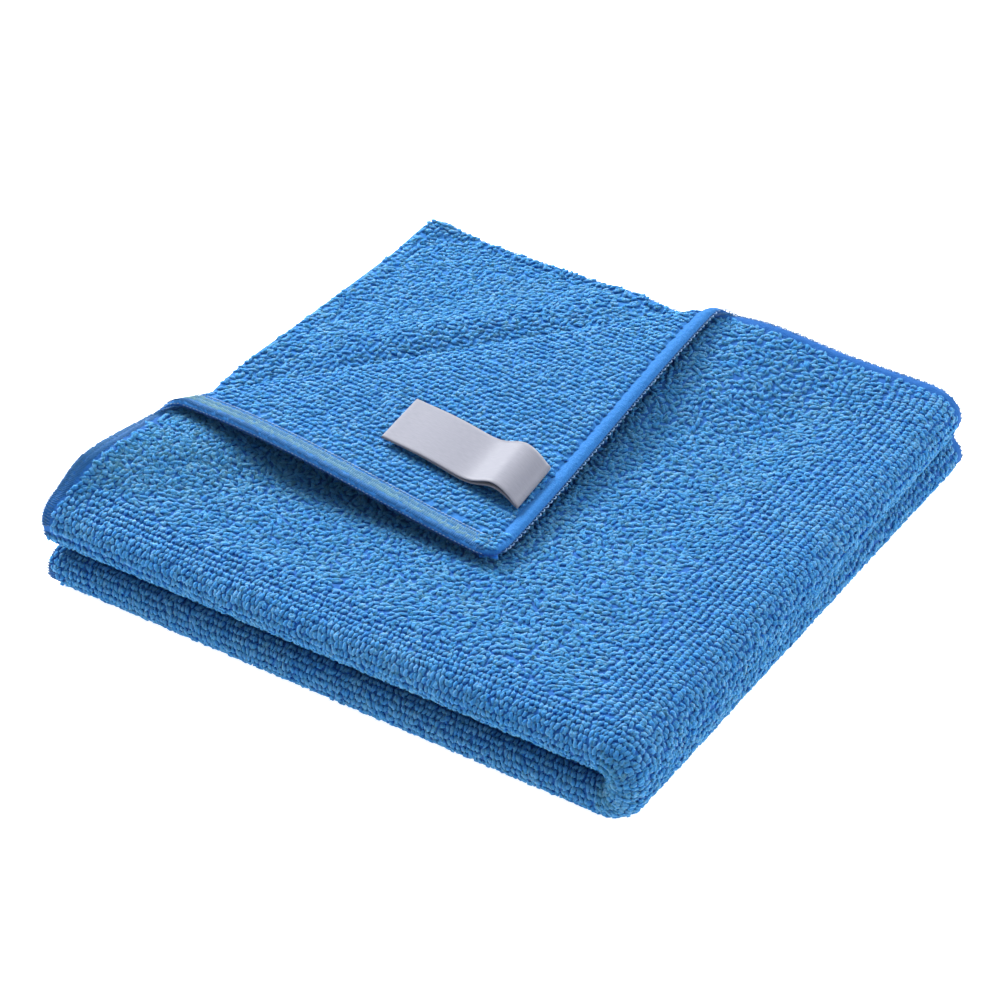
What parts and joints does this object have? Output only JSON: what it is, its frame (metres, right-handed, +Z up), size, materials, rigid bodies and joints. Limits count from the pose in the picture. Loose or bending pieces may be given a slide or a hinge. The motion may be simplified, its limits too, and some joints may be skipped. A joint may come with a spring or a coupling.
{
  "type": "folded microfibre cloth",
  "caption": "Blue microfibre terry cloth folded into a square pad, one corner turned back to show its hem and a blank sewn-in label.",
  "frame": {"origin": "middle of the underside of the folded pad's box, on the surface that it lies on", "axes": "+Z up, +X from the open side towards the second fold, +Y from the first fold towards the open end"},
  "size_m": [0.1568, 0.163, 0.0308],
  "materials": {
    "terry": "looped pile, overlocked hem",
    "label_satin": "satin ribbon"
  },
  "bodies": {
    "root": {"cloth": "terry", "label": "label_satin"}
  },
  "joints": []
}
